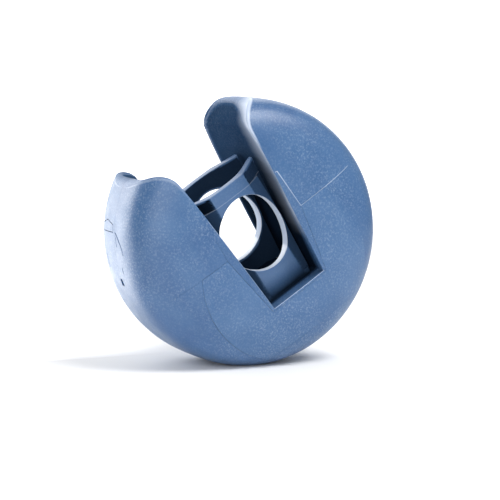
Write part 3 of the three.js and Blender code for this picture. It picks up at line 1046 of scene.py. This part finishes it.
def shell_painted_shade(points):
    """Painted shade: rises with depth below the skin, least in front and near the jaws' tips; the slot's
    floor is apart.
    """
    out = np.hypot(points[:, 0], points[:, 2])
    scale = (out / BALL_RADIUS) ** PROFILE_POWER + (np.abs(points[:, 1]) / HALF_THICKNESS) ** PROFILE_POWER
    front = np.clip(-points[:, 1] / INSIDE_BLEND, 0, 1)
    reach = INSIDE_REACH_BACK + (INSIDE_REACH - INSIDE_REACH_BACK) * front
    deep = np.clip((1 - scale ** (1 / PROFILE_POWER) - INSIDE_START * front) / reach, 0, 1)
    low = np.clip((SHADE_TOP_Z - points[:, 2]) / (SHADE_TOP_Z - SHADE_LOW_Z), 0, 1)
    shade = deep * (UPPER_SHADE + (1 - UPPER_SHADE) * low)
    on_floor = (points[:, 2] > SLOT_FLOOR_Z - 0.1) & (points[:, 2] < SLOT_FLOOR_Z + 0.02) & (out < 30)
    floor_shade = np.interp(np.abs(points[:, 1]), FLOOR_SHADE_Y, FLOOR_SHADES)
    return np.where(on_floor, floor_shade, shade)


def outer_half(points):
    """Whether each point is in the outer half of the leaf's thickness."""
    return np.abs(points[:, 1]) >= [(abs(leaf_outer(x, z)) + leaf_inner(x)) / 2 for x, _, z in points]


def leaf_painted_highlight(points):
    """Painted highlight: the pale wall of the cross hole, and a fine pale line along the top of the webs."""
    hole = np.hypot(points[:, 0] / HOLE_HALF_X, (points[:, 2] - HOLE_Z) / HOLE_HALF_Z)
    on_step = np.abs(points[:, 2] - WEB_TOP_Z + WEB_STEP / 2) < WEB_STEP / 2 + 0.02
    on_ridge = on_step & outer_half(points)
    return np.where(hole < 1 + 0.1 * LEAF_ROUND / HOLE_HALF_X, 1.0, np.where(on_ridge, RIDGE_TONE, 0.0))


def leaf_painted_shade(points):
    """Painted shade: 0 on the outer face and at the hole's edge, 1 on the bore, and part way beyond the
    creases.
    """
    across = np.abs(points[:, 0])
    hole = np.hypot(points[:, 0] / HOLE_HALF_X, (points[:, 2] - HOLE_Z) / HOLE_HALF_Z)
    bore = ~outer_half(points) & (hole > 1 + LEAF_ROUND / HOLE_HALF_X)
    on_web = (points[:, 2] < WEB_TOP_Z + 0.01) & (across < WEB_EDGE_X + 0.01)
    beyond = np.clip((across - CREASE_X) / 0.1, 0, 1) * np.where(on_web, WEB_TONE, LEAF_SIDE_TONE)
    low = np.clip((LEAF_LOW_Z + FOOT_SHADE_HEIGHT - points[:, 2]) / FOOT_SHADE_HEIGHT, 0, 1)
    foot = FOOT_TONE * low**1.5
    right_extra = RIGHT_SIDE_EXTRA * np.interp(points[:, 2], RIGHT_EXTRA_Z[::-1], (1, 0))
    extra = np.where(points[:, 0] < 0, LEFT_SIDE_EXTRA, right_extra) * (across > CREASE_X + 0.4)
    top = points[:, 2] > LEAF_TOP_Z - LEAF_ROUND * 0.5
    value = np.where(bore, BORE_TONE, np.maximum(beyond + extra, foot))
    return np.where(top, 0.0, value)


# Painted shade over the whole heel, which stands deep in the slot.
def all_painted_shade(points):
    return np.ones(len(points))


def paint(obj, name, measure):
    """Stores what measure says of the object's points, for its material."""
    points = np.empty(len(obj.data.vertices) * 3)
    obj.data.vertices.foreach_get("co", points)
    store(obj.data, name, measure(to_upright(points.reshape(-1, 3))))


# ---- Materials ----


def link(tree, source, target):
    tree.links.new(source, target)


def noise(tree, coords, scale, detail=4.0, rough=0.55, distortion=0.0):
    node = tree.nodes.new("ShaderNodeTexNoise")
    node.inputs["Scale"].default_value = scale
    node.inputs["Detail"].default_value = detail
    node.inputs["Roughness"].default_value = rough
    node.inputs["Distortion"].default_value = distortion
    link(tree, coords, node.inputs["Vector"])
    return node


def ramp(tree, source, stops):
    node = tree.nodes.new("ShaderNodeValToRGB")
    for element, (place, value) in zip(node.color_ramp.elements, stops[:2]):
        element.position = place
        element.color = (value, value, value, 1)
    for place, value in stops[2:]:
        element = node.color_ramp.elements.new(place)
        element.color = (value, value, value, 1)
    link(tree, source, node.inputs["Fac"])
    return node


def mix(tree, factor, low, high):
    node = tree.nodes.new("ShaderNodeMix")
    node.data_type = "RGBA"
    link(tree, factor, node.inputs["Factor"])
    for socket, value in ((node.inputs["A"], low), (node.inputs["B"], high)):
        if isinstance(value, tuple):
            socket.default_value = value
        else:
            link(tree, value, socket)
    return node.outputs["Result"]


def painted(tree, name):
    node = tree.nodes.new("ShaderNodeAttribute")
    node.attribute_name = name
    return node.outputs["Fac"]


def times(tree, first, second):
    """The product of an output and of another output or a number."""
    node = tree.nodes.new("ShaderNodeMath")
    node.operation = "MULTIPLY"
    link(tree, first, node.inputs[0])
    if isinstance(second, float):
        node.inputs[1].default_value = second
    else:
        link(tree, second, node.inputs[1])
    return node.outputs["Value"]


def map_range(tree, source, span, low, high):
    """source, from the two ends of span to low and high."""
    node = tree.nodes.new("ShaderNodeMapRange")
    node.inputs["From Min"].default_value = span[0]
    node.inputs["From Max"].default_value = span[1]
    node.inputs["To Min"].default_value = low
    if isinstance(high, float):
        node.inputs["To Max"].default_value = high
    else:
        link(tree, high, node.inputs["To Max"])
    link(tree, source, node.inputs["Value"])
    return node.outputs["Result"]


def axes(tree, coords):
    """The X and Y outputs of a set of coordinates."""
    split = tree.nodes.new("ShaderNodeSeparateXYZ")
    link(tree, coords, split.inputs["Vector"])
    return split.outputs["X"], split.outputs["Y"]


def moulded_blue(name, deep, pale, speckle, roughness, seed):
    """Semi-gloss moulded plastic: cloudy flow marks, a fine pale speckle and a faint orange peel, with
    painted shade and painted highlights mixed in from the mesh's attributes.
    """
    material = bpy.data.materials.new(name)
    material.use_nodes = True
    tree = material.node_tree
    shader = tree.nodes["Principled BSDF"]
    geometry = tree.nodes.new("ShaderNodeTexCoord")
    shift = tree.nodes.new("ShaderNodeMapping")
    shift.inputs["Location"].default_value = (seed, seed * 0.7, -seed * 0.4)
    link(tree, geometry.outputs["Object"], shift.inputs["Vector"])
    coords = shift.outputs["Vector"]
    cloud = ramp(tree, noise(tree, coords, 38, 5, 0.6, 1.2).outputs["Fac"], [(0.32, 0), (0.70, 1)])
    base = mix(tree, cloud.outputs["Color"], deep, pale)
    patches = ramp(tree, noise(tree, coords, 45, 3, 0.5, 0.6).outputs["Fac"], [(0.36, 0.25), (0.66, 1)])
    dots = ramp(tree, noise(tree, coords, 1900, 3, 0.7).outputs["Fac"], [(0.48, 0), (0.72, 1)])
    dust = times(tree, patches.outputs["Color"], dots.outputs["Color"])
    dusty = mix(tree, times(tree, dust, speckle), base, SPECK_BLUE)
    # Painted shade from the 'inside' attribute, then painted highlight from the 'line' attribute.
    inside = painted(tree, "inside")
    shaded = mix(tree, inside, dusty, PAINTED_SHADE_BLUE)
    link(tree, mix(tree, painted(tree, "line"), shaded, PAINTED_HIGHLIGHT_BLUE), shader.inputs["Base Color"])
    gloss = ramp(tree, noise(tree, coords, 220, 4, 0.6).outputs["Fac"],
                 [(0.3, roughness - 0.05), (0.7, roughness + 0.08)])
    link(tree, mix(tree, inside, gloss.outputs["Color"], DULL), shader.inputs["Roughness"])
    link(tree, map_range(tree, inside, (0.0, 0.5), GLOSS, 0.0), shader.inputs["Specular IOR Level"])
    peel = noise(tree, coords, 900, 3, 0.6)
    bump = tree.nodes.new("ShaderNodeBump")
    bump.inputs["Strength"].default_value = 0.12
    bump.inputs["Distance"].default_value = 0.00008
    link(tree, peel.outputs["Fac"], bump.inputs["Height"])
    link(tree, bump.outputs["Normal"], shader.inputs["Normal"])
    shader.inputs["IOR"].default_value = 1.5
    return material


SHELL_BLUE = moulded_blue("shell_blue", (0.038, 0.105, 0.250, 1), (0.072, 0.158, 0.315, 1), 0.30, 0.36, 0.0)
COVER_BLUE = moulded_blue("cover_blue", (0.040, 0.112, 0.262, 1), (0.070, 0.156, 0.315, 1), 0.24, 0.36, 3.1)
LEAF_BLUE = moulded_blue("leaf_blue", (0.060, 0.135, 0.285, 1), (0.078, 0.160, 0.320, 1), 0.10, 0.32, 5.7)

# ---- The object ----


def place(obj, body, node, material, slot, measure=None):
    obj.data.materials.clear()
    obj.data.materials.append(material)
    # measure gives each point's painted shade.
    if measure:
        paint(obj, "inside", measure)
    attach(obj, body)
    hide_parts(node)


for label, side in (("front", -1), ("back", 1)):
    shell = half_shell(label + "_shell_fine", side)
    cut_feet(shell, side)
    boolean(shell, pry_cutter(), "DIFFERENCE")
    if side > 0:
        pocket = plug_block("plug_pocket", PLUG_GAP / 2, PLUG_POCKET_OUT, PLUG_POCKET_IN)
        boolean(shell, pocket, "DIFFERENCE")
    for start, end, bow in RIM_MARKS[side]:
        boolean(shell, groove_cutter(start, end, bow), "DIFFERENCE")
    place(shell, "ball", label + "_shell", SHELL_BLUE, "shell_plastic", shell_painted_shade)
    place(cover(label + "_cover_fine", side), "ball", label + "_cover", COVER_BLUE, "cover_plastic")
    blade = leaf(label + "_leaf_fine", side)
    # Painted highlight on the cross hole's wall and along the webs' tops.
    paint(blade, "line", leaf_painted_highlight)
    place(blade, label + "_leaf_body", label + "_leaf", LEAF_BLUE, "leaf_plastic", leaf_painted_shade)

# The heel is painted wholly in shade.
place(heel("sleeve_heel_fine"), "ball", "sleeve_heel", LEAF_BLUE, "leaf_plastic", all_painted_shade)
plug = plug_block("rim_plug_fine", -PLUG_GAP / 2, PLUG_OUT, PLUG_IN)
place(plug, "ball", "rim_plug", SHELL_BLUE, "shell_plastic")

# ---- Floor, light and camera ----


def floor():
    """A white floor, whose patch behind the object on its left glows: painted light standing in for a lit
    sweep.
    """
    mesh = bpy.data.meshes.new("floor")
    size = FLOOR_HALF
    corners = [(-size, -size, 0), (size, -size, 0), (size, size, 0), (-size, size, 0)]
    mesh.from_pydata(corners, [], [[0, 1, 2, 3]])
    obj = bpy.data.objects.new("floor", mesh)
    bpy.context.scene.collection.objects.link(obj)
    material = bpy.data.materials.new("floor_white")
    material.use_nodes = True
    shader = material.node_tree.nodes["Principled BSDF"]
    shader.inputs["Base Color"].default_value = (0.93, 0.93, 0.93, 1)
    shader.inputs["Roughness"].default_value = 0.9
    shader.inputs["Specular IOR Level"].default_value = 0.1
    shader.inputs["Emission Color"].default_value = (1, 1, 1, 1)
    tree = material.node_tree
    x, y = axes(tree, tree.nodes.new("ShaderNodeTexCoord").outputs["Object"])
    behind = map_range(tree, y, FLOOR_GLOW_Y, 0.0, FLOOR_GLOW)
    left = map_range(tree, x, FLOOR_GLOW_X, 0.0, 1.0)
    link(tree, times(tree, behind, left), shader.inputs["Emission Strength"])
    mesh.materials.append(material)


def area_light(name, place, target, size, power):
    data = bpy.data.lights.new(name, "AREA")
    data.shape = "DISK"
    data.size = size
    data.energy = power
    obj = bpy.data.objects.new(name, data)
    obj.location = place
    obj.rotation_euler = (Vector(target) - Vector(place)).to_track_quat("-Z", "Y").to_euler()
    bpy.context.scene.collection.objects.link(obj)


def world():
    """A white sweep behind the object, brightest on its left, and a dimmer room in front of it."""
    sky = bpy.data.worlds.new("studio")
    sky.use_nodes = True
    tree = sky.node_tree
    background = tree.nodes["Background"]
    background.inputs["Color"].default_value = (1, 1, 1, 1)
    x, y = axes(tree, tree.nodes.new("ShaderNodeTexCoord").outputs["Generated"])
    sweep = map_range(tree, x, SWEEP_LEFT_X, SWEEP_LEFT_STRENGTH, SWEEP_STRENGTH)
    link(tree, map_range(tree, y, SWEEP_Y, ROOM_STRENGTH, sweep), background.inputs["Strength"])
    bpy.context.scene.world = sky


def camera():
    centre = Vector((0, 0, CENTRE_Z * MM))
    back = Vector((math.sin(CAMERA_AZIMUTH) * math.cos(CAMERA_ELEVATION),
                   -math.cos(CAMERA_AZIMUTH) * math.cos(CAMERA_ELEVATION),
                   math.sin(CAMERA_ELEVATION)))
    right = Vector((math.cos(CAMERA_AZIMUTH), math.sin(CAMERA_AZIMUTH), 0))
    up = back.cross(right)
    data = bpy.data.cameras.new("camera")
    data.lens = LENS_MM
    data.sensor_width = SENSOR_MM
    obj = bpy.data.objects.new("camera", data)
    obj.location = centre + back * CAMERA_DISTANCE
    aim = centre + right * AIM_RIGHT + up * AIM_UP
    obj.rotation_euler = (aim - obj.location).to_track_quat("-Z", "Y").to_euler()
    bpy.context.scene.collection.objects.link(obj)
    bpy.context.scene.camera = obj


floor()
world()
for name, (spot, target, size, power) in LAMPS.items():
    area_light(name, spot, target, size, power)
camera()
bpy.context.scene.view_settings.view_transform = "Standard"
